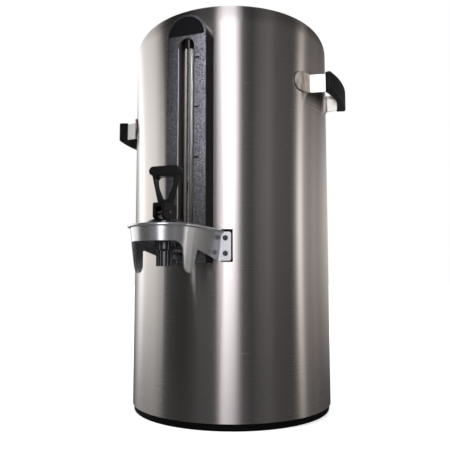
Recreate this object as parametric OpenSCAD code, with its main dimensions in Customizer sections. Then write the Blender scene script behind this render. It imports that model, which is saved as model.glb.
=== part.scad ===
// Insulated gravity coffee dispenser: double-walled steel body, sight gauge, faucet with
// a stirrup handle, steel faucet guard, two side handles and a lift-off brew-through lid.
// Origin: centre of the base on the table. +Z is up and the faucet faces -Y.

/* [Body] */
// Outer diameter of the steel body
body_d = 298; // [290:1:310]
// Height of the steel deck at the top of the shoulder
body_h = 575; // [572:1:600]
// Radius of the rounded shoulder
shoulder_r = 35; // [28:1:38]
// Thickness of the outer steel skin
skin_t = 1.2; // [0.8:0.1:1.6]
// Gap between the outer skin and the inner vessel
vacuum_gap = 12; // [10:0.5:14]
// Wall of the inner vessel
liner_t = 1.2; // [0.8:0.1:1.6]
// Depth of the domed bottom of the inner vessel
dome_h = 40; // [34:1:46]
// Inside diameter of the neck
neck_d = 176; // [170:1:180]
// Distance from the deck down to the inner vessel's shoulder
neck_h = 18; // [14:1:24]

/* [Base] */
// Height of the black ring that the body stands on
base_h = 10; // [8:0.5:14]
// How far the base ring is set in from the steel skin
base_inset = 2; // [1:0.5:4]
// Radial width of the base ring
base_w = 14; // [12:1:20]
// Height of the bottom pan above the table
pan_z = 4; // [3:0.5:5]

/* [Gauge] */
// Width of the gauge housing
gauge_w = 56.5; // [54:0.5:60]
// How far the gauge housing stands out from the body
gauge_depth = 25; // [24:0.5:28]
// Lower end of the gauge housing
gauge_z0 = 213.4; // [212:0.2:214]
// Distance from the deck down to the upper end of the gauge housing
gauge_drop = 33; // [26:1:40]
// Wall of the gauge housing
gauge_wall = 2.5; // [2:0.1:3]
// Width of the sight slot
slot_w = 22; // [21:0.2:23]
// Lower end of the sight slot
slot_z0 = 264; // [263.4:0.2:268]
// Distance from the top of the sight slot to the top of the housing
slot_drop = 32; // [31.5:0.5:36]
// Outside diameter of the gauge glass
glass_d = 12; // [11:0.2:13]
// Wall of the gauge glass
glass_t = 1.5; // [1.2:0.1:2]
// Height of the mark for the first unit of volume
mark_z0 = 348.8; // [340:0.2:360]
// Distance between two volume marks
mark_step = 66.4; // [60:0.2:70]
// Number of volume marks
mark_n = 3; // [1:1:3]

/* [Faucet] */
// Height of the faucet shank's axis
shank_z = 235; // [234:0.2:236]
// Distance of the faucet's upright axis from the body axis
faucet_y = 230; // [228:0.5:232]
// Bore of the shank and the faucet
flow_d = 14; // [12:0.2:14.4]
// Height of the spout's outlet
spout_z = 208; // [204:0.5:212]
// Diameter of the bonnet's collar
bonnet_d = 43; // [38:0.5:46]
// Height of the bonnet's top face
bonnet_z = 262.4; // [261.4:0.2:263.4]
// Diameter of the valve stem
stem_d = 5; // [4.4:0.1:5.4]
// Diameter of the handle's pivot pin
pin_d = 4; // [3.4:0.1:4.4]
// Height of the pivot pin above the bonnet
pin_rise = 9.3; // [9:0.1:9.8]
// Stem lift for one radian of handle tilt
cam_lift = 10; // [8:0.2:10.4]
// Full forward tilt of the handle in degrees
tilt_max = 35; // [28:1:36]
// Width of the handle's grip bar
bar_w = 39; // [36:0.5:42]
// Height of the handle's top above the bonnet
handle_rise = 64.5; // [60:0.5:68]

/* [Guard] */
// Thickness of the guard's sheet
guard_t = 1.5; // [1.2:0.1:1.8]
// Outer half width of the guard at its rim
guard_r = 39.5; // [39:0.5:42]
// Height of the guard's rim
guard_z = 254; // [252:0.5:256]
// Inward lean of the guard's walls in degrees
guard_lean = 6; // [5:0.5:7]
// Radius of the bead rolled on the rim
bead_r = 1.9; // [1.6:0.1:2.2]
// Distance of the guard's front curve centre from the body axis
guard_yc = 232.5; // [231:0.5:234]
// Lower edge of the guard's front band
band_z = 236; // [234:0.5:238]
// Lowest point of the prongs
prong_z = 200; // [196:0.5:204]
// Lower edge of the mounting flanges
flange_z = 216.5; // [214:0.5:218]
// Half width over the mounting flanges
flange_x = 51; // [50:0.5:54]

/* [Side handles] */
// Distance from the deck down to the right handle's middle
handle_below = 106.2; // [100:0.2:120]
// How much lower the left handle sits
handle_drop = 41.5; // [0:0.5:48]
// Height of the bracket strip
strip_h = 25.2; // [24:0.2:28]
// Thickness of the bracket strip
strip_t = 2.5; // [2:0.1:3]
// Distance from the body to the grip's outer face
handle_reach = 31.5; // [30:0.5:37]
// Thickness of the grip at its middle
grip_t = 8.6; // [8.2:0.1:9.2]
// Length of the grip along its outer face
grip_l = 107; // [102:1:112]

/* [Lid] */
// Diameter of the lid's flange
lid_d = 200; // [196:1:204]
// Thickness of the lid's flange
lid_flange = 6; // [5:0.5:7]
// Depth of the lid's plug inside the neck
plug_h = 30; // [26:1:34]
// Wall of the lid's moulding
lid_wall = 3; // [2.5:0.1:3.5]
// Diameter of the brew-through hole
brew_d = 20; // [16:0.5:22]
// Outside diameter of the mixing tube
tube_d = 24; // [22.6:0.2:26]
// Clearance of the mixing tube's end above the vessel bottom
tube_gap = 30; // [20:1:40]

/* [Hidden] */
$fn = 96;

// Clearances: seat between still pieces, run for a shaft in its hole, gap between bodies
seat = 0.2;
run = 0.05;
gap = 0.3;
// Overshoot of a cutter past the face that it cuts
over = 1;

body_r = body_d / 2;
liner_r = body_r - skin_t - vacuum_gap - liner_t;
liner_z0 = shank_z + 27;
liner_z1 = body_h - neck_h;
liner_shoulder = shoulder_r - 10;
dome_r = (liner_r * liner_r + dome_h * dome_h) / (2 * dome_h);
neck_r = neck_d / 2;
ring_over = 9;
ring_skirt = 7;
skin_hole = 4.2;
jacket_drop = 33;
jacket_lip = 14;

gauge_r = gauge_w / 2;
gauge_z1 = body_h - gauge_drop;
gauge_front = body_r + gauge_depth;
gauge_arch_z = gauge_z1 - gauge_r;
gauge_edge = 1.2;
slot_r = slot_w / 2;
slot_z1 = gauge_z1 - slot_drop;
slot_bevel = 1.2;
mark_l = 7.4;
mark_w = 0.9;
mark_deep = 0.8;
cup_r = glass_d / 2 + 1.2;
glass_y = gauge_front - gauge_wall - cup_r - gap;
glass_z0 = shank_z + 15;
cap_z0 = slot_z1 - 13;
cap_top = slot_z1 + 3.8;
badge_r = gauge_r - 2.8;
badge_drop = 0.8;
badge_t = 1;

flow_r = flow_d / 2;
riser_r = flow_r - 1;
shank_r = flow_r + 3;
nut_y = gauge_front + seat;
nut_t = 9;
barrel_y = nut_y + nut_t + seat;
shank_end = barrel_y + 13;
seat_z = spout_z + 21;
step_z = spout_z + 20;
collar_t = 6;
body_top = bonnet_z - collar_t;
chamber_r = 9.1;
plug_depth = 7;
cup_top = seat_z + 9;
pin_z = bonnet_z + pin_rise;
cam_h = pin_rise - gap;
yoke_w = 15;
yoke_slot = 7.6;
tongue_w = 7;
yoke_back = 16.5;
yoke_top = bonnet_z + 19.5;
bar_h = 11;
loop_y = 2;
bar_z = bonnet_z + handle_rise - bar_h / 2;

bead_in = 0.8;
flange_hole_x = guard_r + 4.1;
flange_hole_z = [flange_z + 9.4, guard_z - 8];
guard_foot_r = body_r + seat;
flange_hole_az = asin(flange_hole_x / guard_foot_r);

handle_z = body_h - handle_below;
handle_turn = 2.5;
foot_half = 53.4;
arm_half = 46.6;
grip_rho = body_r + handle_reach;
grip_flat = 2.5;
bar_rho = grip_rho - 7.8;
grip_h = strip_h + 3.8;
grip_skew = 9;
pad_r = 13.6;
pad_off = 13.7;
screw_off = 26;
foot_az = asin(foot_half / body_r);
arm_az = asin(arm_half / bar_rho);
pad_az = foot_az + pad_off / body_r * 180 / PI;
screw_az = screw_off / bar_rho * 180 / PI;
arm_foot = at(body_r, foot_az);
arm_along = (at(bar_rho, arm_az) - arm_foot) / norm(at(bar_rho, arm_az) - arm_foot);
arm_inward = [arm_along[1], -arm_along[0]];
screw_seat = bar_rho - strip_t / 2 - 0.5;

deck_z = body_h + 3;
flange_z0 = deck_z + gap;
lid_top = flange_z0 + lid_flange;
plug_r = neck_r - 2.5;
dish_z = flange_z0 - 8;
funnel_h = 9;
tube_notch = 9;

// Filled half section with a rounded outer shoulder, from the axis out to radius r
module shoulder_section(r, h, sr) {
    square([r, h - sr]);
    square([r - sr, h]);
    intersection() {
        translate([r - sr, h - sr]) circle(sr);
        square([r, h]);
    }
}

// Ring between two radii
module ring(r0, r1, h) {
    difference() {
        cylinder(r = r1, h = h);
        translate([0, 0, -over]) cylinder(r = r0, h = h + 2 * over);
    }
}

// Cylinder that points to the front (-Y), from distance y0 to distance y1
module front_cylinder(r, y0, y1, z, x = 0) {
    translate([x, -y0, z]) rotate([90, 0, 0]) cylinder(r = r, h = y1 - y0);
}

// Points of an arc in a plane
function arc(cx, cy, r, a0, a1, n = 8) =
    [for (i = [0:n]) let (a = a0 + (a1 - a0) * i / n) [cx + r * cos(a), cy + r * sin(a)]];

// ---- Body ----

// Brushed outer skin: straight wall, rounded shoulder and flat deck round the neck
module outer_shell() {
    color("silver") difference() {
        translate([0, 0, base_h]) rotate_extrude() difference() {
            shoulder_section(body_r, body_h - base_h, shoulder_r);
            translate([0, -over])
                shoulder_section(body_r - skin_t, body_h - base_h - skin_t + over,
                                 shoulder_r - skin_t);
        }
        cylinder(r = neck_r + skin_hole, h = body_h + over);
        front_cylinder(flow_r + liner_t + seat, body_r - 20, body_r + 5, shank_z);
        for (side = [-1, 1], z = flange_hole_z)
            rotate([0, 0, side * flange_hole_az])
                front_cylinder(2.1, body_r - 5, body_r + 5, z);
    }
}

// Half section of the inner vessel, grown outwards by a wall
module liner_section(grow) {
    intersection() {
        union() {
            translate([0, liner_z0 - grow])
                shoulder_section(liner_r + grow, liner_z1 - liner_z0 + 2 * grow,
                                 liner_shoulder + grow);
            translate([0, liner_z0]) square([neck_r + grow, body_h - liner_z0]);
        }
        union() {
            translate([0, liner_z0 + dome_h]) square([body_r, body_h]);
            intersection() {
                translate([0, liner_z0 + dome_r]) circle(dome_r + grow);
                translate([0, liner_z0 - grow]) square([body_r, dome_h + 2 * grow]);
            }
        }
    }
}

// Seamless inner vessel with a domed bottom that drains to its centre
module inner_vessel() {
    color("gainsboro") difference() {
        rotate_extrude() difference() {
            liner_section(liner_t);
            liner_section(0);
        }
        translate([0, 0, liner_z0 - liner_t - over])
            cylinder(r = riser_r + liner_t + seat, h = dome_h / 4);
        translate([0, 0, body_h - over]) cylinder(r = neck_r, h = 2 * over);
    }
}

// Rolled collar that closes the joint of skin and vessel and carries the lid
module neck_ring() {
    color("silver") rotate_extrude() {
        translate([neck_r, body_h + seat]) square([ring_over, deck_z - body_h - seat - 1]);
        translate([neck_r + 1, body_h + seat]) square([ring_over - 2, deck_z - body_h - seat]);
        translate([neck_r + 1, deck_z - 1]) circle(1);
        translate([neck_r + ring_over - 1, deck_z - 1]) circle(1);
        translate([neck_r + liner_t + seat, body_h - ring_skirt])
            square([skin_hole - liner_t - 2 * seat, ring_skirt + over]);
    }
}

// Dished floor that closes the insulating space under the vessel
module jacket_floor() {
    r = body_r - skin_t - seat;
    z = shank_z - jacket_drop;
    color("silver") rotate_extrude() {
        translate([0, z]) square([r, liner_t]);
        translate([r - liner_t, z]) square([liner_t, jacket_lip]);
    }
}

// Drain pipe: a riser under the vessel's lowest point and a run out to the front
module drain_tube() {
    pipe_r = flow_r + liner_t;
    color("silver") difference() {
        union() {
            front_cylinder(pipe_r, -pipe_r - liner_t, body_r + 7, shank_z);
            translate([0, 0, shank_z]) cylinder(r = riser_r + liner_t, h = liner_z0 - shank_z - seat);
            translate([0, 0, liner_z0 - liner_t - seat - 2]) cylinder(r = flow_r + 5, h = 2);
        }
        front_cylinder(flow_r, -pipe_r, body_r + 8, shank_z);
        translate([0, 0, shank_z]) cylinder(r = riser_r, h = liner_z0 - shank_z + over);
    }
}

// ---- Base ----

// Black moulded ring with a rounded foot and a lip inside the skin
module base_ring() {
    r1 = body_r - base_inset;
    r0 = r1 - base_w;
    foot = 3;
    lip_in = 5;
    lip_h = 9;
    color([0.05, 0.05, 0.05]) rotate_extrude() difference() {
        union() {
            translate([r0, 0]) square([base_w - foot, base_h - seat]);
            translate([r0, foot]) square([base_w, base_h - seat - foot]);
            translate([r1 - foot, foot]) circle(foot);
            translate([r1 - lip_in, base_h - over])
                square([lip_in - skin_t - seat + base_inset, lip_h + over]);
        }
        translate([r0 - over, pan_z]) square([over + 5, liner_t + 2 * seat]);
        translate([r0 - over, pan_z]) square([over + 2.5, base_h]);
    }
}

// Steel pan that closes the underside
module bottom_pan() {
    r = body_r - base_inset - base_w + 5 - seat;
    color("silver") translate([0, 0, pan_z + seat]) {
        cylinder(r = r, h = liner_t);
    }
}

// ---- Gauge ----

// Half cross section of the gauge housing: half width r, rounded front corner
module gauge_half(r, depth, edge) {
    square([r - edge, depth]);
    square([r, depth - edge]);
    translate([r - edge, depth - edge]) circle(edge);
}

// Filled outer form of the housing, upright sides and a half-round head
module gauge_form() {
    root = 60;
    translate([0, root - gauge_front, gauge_z0]) linear_extrude(gauge_arch_z - gauge_z0)
        for (side = [0, 1]) mirror([side, 0]) mirror([0, 1])
            gauge_half(gauge_r, root, gauge_edge);
    translate([0, root - gauge_front, gauge_arch_z]) rotate([90, 0, 0])
        rotate_extrude(angle = 180) gauge_half(gauge_r, root, gauge_edge);
}

// Cutter for the sight slot with bevelled edges and a sloped sill
module slot_cutter() {
    deep = gauge_wall + over;
    y = gauge_front - deep;
    arch = slot_z1 - slot_r;
    translate([-slot_r, -gauge_front - over, slot_z0]) cube([slot_w, deep + over, arch - slot_z0]);
    front_cylinder(slot_r, y, gauge_front + over, arch);
    translate([0, -gauge_front, arch]) rotate([-90, 0, 0])
        cylinder(r1 = slot_r + slot_bevel, r2 = slot_r, h = slot_bevel);
    translate([0, -gauge_front, slot_z0]) linear_extrude(arch - slot_z0) polygon([
        [-slot_r - slot_bevel, 0], [slot_r + slot_bevel, 0],
        [slot_r, slot_bevel], [-slot_r, slot_bevel]
    ]);
    translate([-slot_r, 0, 0]) rotate([90, 0, 90]) linear_extrude(slot_w) polygon([
        [-gauge_front - over, slot_z0 - 3], [-gauge_front, slot_z0 - 2.4],
        [-y, slot_z0 + 1], [-gauge_front - over, slot_z0 + 1]
    ]);
}

// Black moulded housing over the gauge glass
module gauge_housing() {
    inner_front = gauge_front - gauge_wall;
    channel = slot_r + 0.8;
    color([0.12, 0.12, 0.13]) difference() {
        gauge_form();
        cylinder(r = body_r + seat, h = body_h + 50);
        // hollow behind the front wall, with two ribs left that line the sight channel
        translate([-channel, -inner_front, gauge_z0 + gauge_wall])
            cube([2 * channel, 60, cap_top + seat - gauge_z0 - gauge_wall]);
        for (side = [0, 1]) mirror([side, 0, 0])
            translate([channel + 2, -inner_front, gauge_z0 + gauge_wall])
                cube([gauge_r - gauge_wall - channel - 2, 60,
                      cap_top + seat - gauge_z0 - gauge_wall]);
        translate([gauge_wall - gauge_r, -inner_front, gauge_z0 + gauge_wall])
            cube([gauge_w - 2 * gauge_wall, 60, slot_z0 - 4 - gauge_z0 - gauge_wall]);
        slot_cutter();
        front_cylinder(shank_r + seat, body_r, gauge_front + over, shank_z);
        for (i = [0:mark_n - 1])
            translate([slot_r - over, -gauge_front - over, mark_z0 + i * mark_step - mark_w / 2])
                cube([mark_l + over, over + mark_deep, mark_w]);
        badge_form(gauge_front - badge_t - seat, gauge_front + over, 0);
    }
}

// Half-moon form in the head of the housing, between two distances from the axis
module badge_form(y0, y1, shrink) {
    intersection() {
        front_cylinder(badge_r - shrink, y0, y1, gauge_arch_z);
        translate([-gauge_r, -y1 - over, gauge_arch_z - badge_drop + shrink])
            cube([gauge_w, y1 - y0 + 2 * over, gauge_w]);
    }
}

// Blank glossy plate set into the head of the housing
module badge_plate() {
    color([0.02, 0.02, 0.02])
        badge_form(gauge_front - badge_t, gauge_front, seat);
}

// Sight glass
module gauge_glass() {
    color([0.8, 0.85, 0.85, 0.4]) translate([0, -glass_y, glass_z0 + 1.5])
        ring(glass_d / 2 - glass_t, glass_d / 2, cap_z0 + 8 - seat - glass_z0 - 1.5);
}

// Rubber ring under the glass
module gauge_seal() {
    color([0.1, 0.1, 0.1]) translate([0, -glass_y, glass_z0 + seat])
        ring(glass_d / 2 - glass_t, glass_d / 2, 1.5 - 2 * seat);
}

// Cap on the top end of the glass, vented to the room
module gauge_cap() {
    color([0.03, 0.03, 0.03]) translate([0, -glass_y, 0]) difference() {
        union() {
            translate([0, 0, cap_z0]) cylinder(r = cup_r - seat, h = cap_top - cap_z0);
            translate([0, 0, cap_z0]) cylinder(r = cup_r, h = 2.5);
        }
        translate([0, 0, cap_z0 - over]) cylinder(r = glass_d / 2 + run, h = 8 + over);
        translate([0, 0, cap_z0]) cylinder(r = glass_d / 2 - glass_t, h = 12);
        translate([0, glass_d, cap_z0 + 10]) rotate([90, 0, 0]) cylinder(r = 1, h = glass_d);
    }
}

// ---- Faucet ----

// Threaded tube from the drain pipe to the faucet, with a cup for the gauge glass
module faucet_shank() {
    y0 = body_r + 1.6;
    color([0.25, 0.25, 0.26]) difference() {
        union() {
            front_cylinder(shank_r + 2, y0, gauge_front - gauge_wall - seat, shank_z);
            front_cylinder(shank_r, y0, shank_end, shank_z);
            translate([0, -glass_y, shank_z]) cylinder(r = cup_r, h = 25.4);
        }
        front_cylinder(flow_r, y0 - over, shank_end + over, shank_z);
        front_cylinder(flow_r + liner_t + run, y0 - over, body_r + 7.2, shank_z);
        translate([0, -glass_y, glass_z0]) cylinder(r = glass_d / 2 + run, h = 30);
        translate([0, -glass_y, shank_z]) cylinder(r = glass_d / 2 - glass_t - 1, h = 30);
    }
}

// Rubber washer between the shank and the steel skin
module shank_washer() {
    color([0.08, 0.08, 0.08]) difference() {
        front_cylinder(shank_r + 2, body_r + seat, body_r + 1.6 - seat, shank_z);
        front_cylinder(flow_r + liner_t + seat, body_r - 1, body_r + 5, shank_z);
    }
}

// Round coupling nut with finger flutes
module shank_nut() {
    r = 21;
    color([0.06, 0.06, 0.06]) difference() {
        union() {
            front_cylinder(r, nut_y, nut_y + nut_t - 1.5, shank_z);
            translate([0, 1.5 - nut_y - nut_t, shank_z]) rotate([90, 0, 0])
                cylinder(r1 = r, r2 = r - 1.5, h = 1.5);
        }
        front_cylinder(shank_r + run, nut_y - over, nut_y + nut_t + over, shank_z);
        for (a = [0:30:330])
            translate([0, 0, shank_z]) rotate([0, a, 0]) translate([0, 0, r + 1.2])
                front_cylinder(2.6, nut_y - over, nut_y + nut_t + over, 0);
    }
}

// Faucet casting: barrel, upright chamber and fluted spout
module faucet_body() {
    upper_r = 12;
    spout_r = 10;
    color([0.07, 0.07, 0.08]) difference() {
        union() {
            front_cylinder(shank_r + 2.5, barrel_y, faucet_y, shank_z);
            front_cylinder(shank_r + 4.5, barrel_y, barrel_y + 4, shank_z);
            translate([0, -faucet_y, step_z]) cylinder(r = upper_r, h = body_top - step_z);
            translate([0, -faucet_y, step_z - 3]) cylinder(r1 = spout_r, r2 = upper_r, h = 3);
            translate([0, -faucet_y, spout_z]) cylinder(r = spout_r, h = step_z - spout_z);
            translate([0, -faucet_y, body_top - 4]) cylinder(r = upper_r + 2, h = 4);
        }
        front_cylinder(shank_r + run, barrel_y - over, shank_end + seat, shank_z);
        front_cylinder(flow_r - 1.4, barrel_y, faucet_y, shank_z);
        translate([0, -faucet_y, seat_z]) cylinder(r = chamber_r, h = bonnet_z);
        translate([0, -faucet_y, spout_z - over]) cylinder(r = 6, h = 30);
        for (a = [0:45:315]) translate([0, -faucet_y, 0]) rotate([0, 0, a - 90]) {
            translate([spout_r + 0.7, 0, spout_z - over]) cylinder(r = 2, h = step_z - spout_z - 1);
            if (abs(a - 180) > 60)
                translate([upper_r + 0.9, 0, step_z - 1])
                    cylinder(r = 2.3, h = body_top - 5 - step_z + 1);
        }
    }
}

// Screw-in bonnet with a broad chamfered collar and a notch at the front
module bonnet() {
    r = bonnet_d / 2;
    color([0.05, 0.05, 0.05]) translate([0, -faucet_y, 0]) difference() {
        rotate_extrude() {
            polygon([
                [0, body_top + seat], [r - 1, body_top + seat], [r, body_top + 1.2],
                [r, bonnet_z - 2.5], [r - 3, bonnet_z], [0, bonnet_z]
            ]);
            translate([0, body_top - plug_depth])
                square([chamber_r - run, plug_depth + 1]);
        }
        translate([0, 0, body_top - plug_depth - over]) cylinder(r = stem_d / 2 + run, h = 30);
        translate([0, 0, body_top - plug_depth - over]) cylinder(r = 7, h = 4 + over);
        translate([-6, -r - over, bonnet_z - 3.2]) cube([12, 4.5 + over, 2]);
    }
}

// Stem with a flat tongue for the pivot pin
module valve_stem() {
    tongue_r = 4.4;
    color("silver") translate([0, -faucet_y, 0]) difference() {
        union() {
            translate([0, 0, seat_z + 3]) cylinder(d = stem_d, h = pin_z - seat_z - 5);
            translate([0, 0, cup_top - 3]) cylinder(r = 4.2, h = 1.2);
            intersection() {
                translate([-tongue_w / 2, -tongue_r, bonnet_z + 1.2])
                    cube([tongue_w, 2 * tongue_r, 20]);
                union() {
                    translate([-10, 0, pin_z]) rotate([0, 90, 0]) cylinder(r = tongue_r, h = 20);
                    translate([-10, -3.2, bonnet_z + 1.2]) cube([20, 6.4, pin_rise - 1.2]);
                }
            }
        }
        translate([-10, 0, pin_z]) rotate([0, 90, 0]) cylinder(r = pin_d / 2 + run, h = 20);
    }
}

// Soft cup that closes on the seat and grips the stem's disc
module seat_cup() {
    color([0.75, 0.72, 0.66]) translate([0, -faucet_y, 0]) difference() {
        rotate_extrude() polygon([
            [0, seat_z + gap], [7.4, seat_z + gap], [7.4, seat_z + 2.5],
            [6.4, cup_top - 2], [6.4, cup_top], [0, cup_top]
        ]);
        translate([0, 0, seat_z + 3 - run]) cylinder(r = stem_d / 2 + run, h = 20);
        translate([0, 0, cup_top - 3 - run]) cylinder(r = 4.2 + run, h = 1.2 + 2 * run);
    }
}

// Closing spring between the cup and the bonnet
spring_z0 = cup_top + 0.1;
spring_z1 = body_top - plug_depth + 4 - 0.1;
spring_r = 5.2;
wire_r = 0.55;
spring_turns = 6;
function coil_z(t) = spring_z0 + wire_r + (spring_z1 - spring_z0 - 2 * wire_r) * t;
module valve_spring() {
    per_turn = 14;
    sides = 6;
    n = spring_turns * per_turn;
    points = [for (i = [0:n], k = [0:sides - 1])
        let (a = 360 * i / per_turn, b = 360 * k / sides, r = spring_r + wire_r * cos(b))
        [r * cos(a), r * sin(a), coil_z(i / n) + wire_r * sin(b)]];
    walls = [for (i = [0:n - 1], k = [0:sides - 1])
        let (j = (k + 1) % sides)
        [i * sides + k, i * sides + j, (i + 1) * sides + j, (i + 1) * sides + k]];
    ends = [[for (k = [sides - 1:-1:0]) k], [for (k = [0:sides - 1]) n * sides + k]];
    color("silver") translate([0, -faucet_y, 0]) polyhedron(points, concat(walls, ends));
}

// Side profile of the yoke: flat heel and an involute toe, so that the stem rises in
// proportion to the tilt while the toe rolls on the bonnet. Forward is to the left.
function toe(a) = let (d = cam_h + cam_lift * a * PI / 180)
    [-(cam_lift * cos(a) + d * sin(a)), cam_lift * sin(a) - d * cos(a)];
module yoke_profile() {
    tip = toe(tilt_max + 1);
    rise = yoke_top - pin_z;
    polygon(concat(
        [[yoke_back - 2, rise], [tip[0] + 2, rise], [tip[0], rise - 2]],
        [for (i = [12:-1:0]) toe((tilt_max + 1) * i / 12)],
        [[yoke_back - 1.5, -cam_h], [yoke_back, 1.5 - cam_h], [yoke_back, rise - 2]]
    ));
}

// Stirrup handle: grip bar, two tapering arms and the forked yoke
module tap_handle() {
    arm_t = 11;
    hole_z0 = yoke_top + 5.4;
    hole_z1 = bar_z - bar_h / 2 - 1.2;
    color([0.04, 0.04, 0.04]) translate([0, -faucet_y, 0]) difference() {
        union() {
            translate([-yoke_w / 2, 0, pin_z]) rotate([90, 0, 90])
                linear_extrude(yoke_w) yoke_profile();
            // arms that widen from the yoke to the bar
            translate([0, loop_y + arm_t / 2, 0]) rotate([90, 0, 0]) linear_extrude(arm_t) hull() {
                for (side = [-1, 1])
                    translate([side * (bar_w / 2 - 6.5), bar_z + 0.5]) circle(4, $fn = 32);
                translate([0, yoke_top + 2]) circle(yoke_w / 2 + 0.5, $fn = 32);
            }
            // grip bar with rounded ends
            translate([0, loop_y + arm_t / 2 + 1.5, bar_z]) rotate([90, 0, 0])
                linear_extrude(arm_t + 3) {
                    for (side = [-1, 1])
                        translate([side * (bar_w - bar_h) / 2, 0]) circle(d = bar_h);
                    square([bar_w - bar_h, bar_h], center = true);
                }
        }
        // egg-shaped finger hole
        translate([0, 30, 0]) rotate([90, 0, 0]) linear_extrude(60) hull() {
            for (side = [-1, 1])
                translate([side * 7.4, hole_z1 - 2.6]) circle(2.6, $fn = 32);
            for (side = [-1, 1])
                translate([side * 4.6, hole_z1 - 11]) circle(4, $fn = 32);
            translate([0, hole_z0 + 3.4]) circle(3.4, $fn = 32);
        }
        translate([-yoke_slot / 2, -30, pin_z - 20]) cube([yoke_slot, 60, 25.5]);
        translate([-10, 0, pin_z]) rotate([0, 90, 0]) cylinder(r = pin_d / 2 + run, h = 20);
    }
}

// Pivot pin through the yoke and the stem's tongue
module handle_pin() {
    color("silver") translate([-yoke_w / 2 + 0.2, -faucet_y, pin_z]) rotate([0, 90, 0])
        cylinder(d = pin_d, h = yoke_w - 0.4);
}

// ---- Guard ----

function guard_x(z) = guard_r - (guard_z - z) * tan(guard_lean);

// Section of the guard's wall with the rolled bead on top
module guard_section() {
    low = prong_z - 2;
    polygon([
        [guard_x(low) - guard_t, low], [guard_x(low), low],
        [guard_r, guard_z], [guard_r - guard_t, guard_z]
    ]);
    translate([guard_r + bead_r - bead_in, guard_z]) circle(bead_r);
}

// Side outline that is kept: front band, prong, notch and the slanted rear edge
module guard_side_keep() {
    tip_r = 12;
    front_a = 14;
    back_a = 5;
    tip_y = -guard_yc - 1;
    tip_z = prong_z + tip_r;
    arch_r = 11;
    arch_z = band_z - arch_r;
    arch_y = tip_y - tip_r * cos(front_a) - (arch_z - tip_z) * tan(front_a) - arch_r;
    notch_r = 4;
    notch_y = tip_y + 18.5;
    notch_z = prong_z + 23.5;
    rear = -body_r + 20;
    polygon(concat(
        [[-guard_yc - 60, guard_z + 5], [-guard_yc - 60, band_z]],
        arc(arch_y, arch_z, arch_r, 90, front_a, 8),
        arc(tip_y, tip_z, tip_r, 180 + front_a, 360 - back_a, 20),
        arc(notch_y, notch_z, notch_r, 180 - back_a, 80, 8),
        [[-body_r, flange_z], [rear, flange_z], [rear, guard_z + 5]]
    ));
}

// Curved mounting flange on one side, seen from the front as a four-sided plate
module guard_flange() {
    corner = 2.5;
    intersection() {
        ring(guard_foot_r - over, guard_foot_r + guard_t, body_h);
        translate([0, -body_r + 40, 0]) rotate([90, 0, 0]) linear_extrude(60) polygon(concat(
            [[guard_r - guard_t / 2, guard_z], [guard_x(flange_z) - guard_t / 2, flange_z]],
            arc(flange_x - corner, flange_z + corner, corner, 270, 360, 6),
            arc(flange_x - corner, guard_z - corner, corner, 0, 90, 6)
        ));
    }
}

// Bent steel guard: band round the front, two prongs and a flange each side
module guard_wall() {
    intersection() {
        union() {
            translate([0, -guard_yc, 0]) rotate([0, 0, 180]) rotate_extrude(angle = 180)
                guard_section();
            for (side = [0, 1]) mirror([side, 0, 0])
                translate([0, -body_r + 20, 0]) rotate([90, 0, 0])
                    linear_extrude(guard_yc - body_r + 20) guard_section();
        }
        translate([-60, 0, 0]) rotate([90, 0, 90]) linear_extrude(120) guard_side_keep();
    }
}

module faucet_guard() {
    color([0.72, 0.73, 0.75]) difference() {
        union() {
            guard_wall();
            for (side = [0, 1]) mirror([side, 0, 0]) guard_flange();
        }
        cylinder(r = guard_foot_r, h = body_h);
        for (side = [-1, 1], z = flange_hole_z)
            rotate([0, 0, side * flange_hole_az])
                front_cylinder(2.1, body_r - 5, body_r + 10, z);
    }
}

// Round-headed screws of the guard's flanges, each with a hexagon socket
module guard_screws() {
    head = guard_foot_r + guard_t + 0.3;
    color([0.3, 0.3, 0.3])
        for (side = [-1, 1], z = flange_hole_z)
            rotate([0, 0, side * flange_hole_az]) difference() {
                union() {
                    front_cylinder(2, body_r - 6, head + 1, z);
                    front_cylinder(3.4, head, head + 1.2, z);
                    translate([0, -head - 1.2, z]) rotate([90, 0, 0])
                        cylinder(r1 = 3.4, r2 = 2.2, h = 1);
                }
                translate([0, -head - 1, z]) rotate([90, 0, 0]) cylinder(r = 1.5, h = 4, $fn = 6);
            }
}

// ---- Side handles ----
// Each handle is drawn with its reach along +X and its length along Y. Both are the same
// part, turned half round the body.

// Point at a radius and an azimuth from the handle's own axis
function at(r, az) = [r * cos(az), r * sin(az)];

// Curved band about the body's axis, between two radii and two azimuths
module band(r0, r1, h, az0, az1) {
    rotate([0, 0, az0]) rotate_extrude(angle = az1 - az0)
        translate([r0, -h / 2]) square([r1 - r0, h]);
}

// Point where an arm's outer edge, moved inwards by a distance, meets a circle about the axis
function arm_meets(off, r) =
    let (q = arm_foot + off * arm_inward, b = q * arm_along)
    q + (sqrt(b * b - q * q + r * r) - b) * arm_along;
function azimuth(p) = atan2(p[1], p[0]);
function mirrored(p) = [p[0], -p[1]];

// Bracket strip, grown all round by a clearance: a curved bar and two straight arms
module strip(grow) {
    h = strip_h + 2 * grow;
    r0 = bar_rho - strip_t / 2 - grow;
    r1 = bar_rho + strip_t / 2 + grow;
    az0 = azimuth(arm_meets(strip_t + grow, r0));
    az1 = azimuth(arm_meets(-grow, r1));
    root = arm_foot - 12 * arm_along;
    root0 = root + (strip_t + grow) * arm_inward;
    root1 = root - grow * arm_inward;
    translate([0, 0, -h / 2]) linear_extrude(h) polygon(concat(
        [mirrored(root0), mirrored(root1)], arc(0, 0, r1, -az1, az1, 16),
        [root1, root0], arc(0, 0, r0, az0, -az0, 16)
    ));
}

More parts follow.
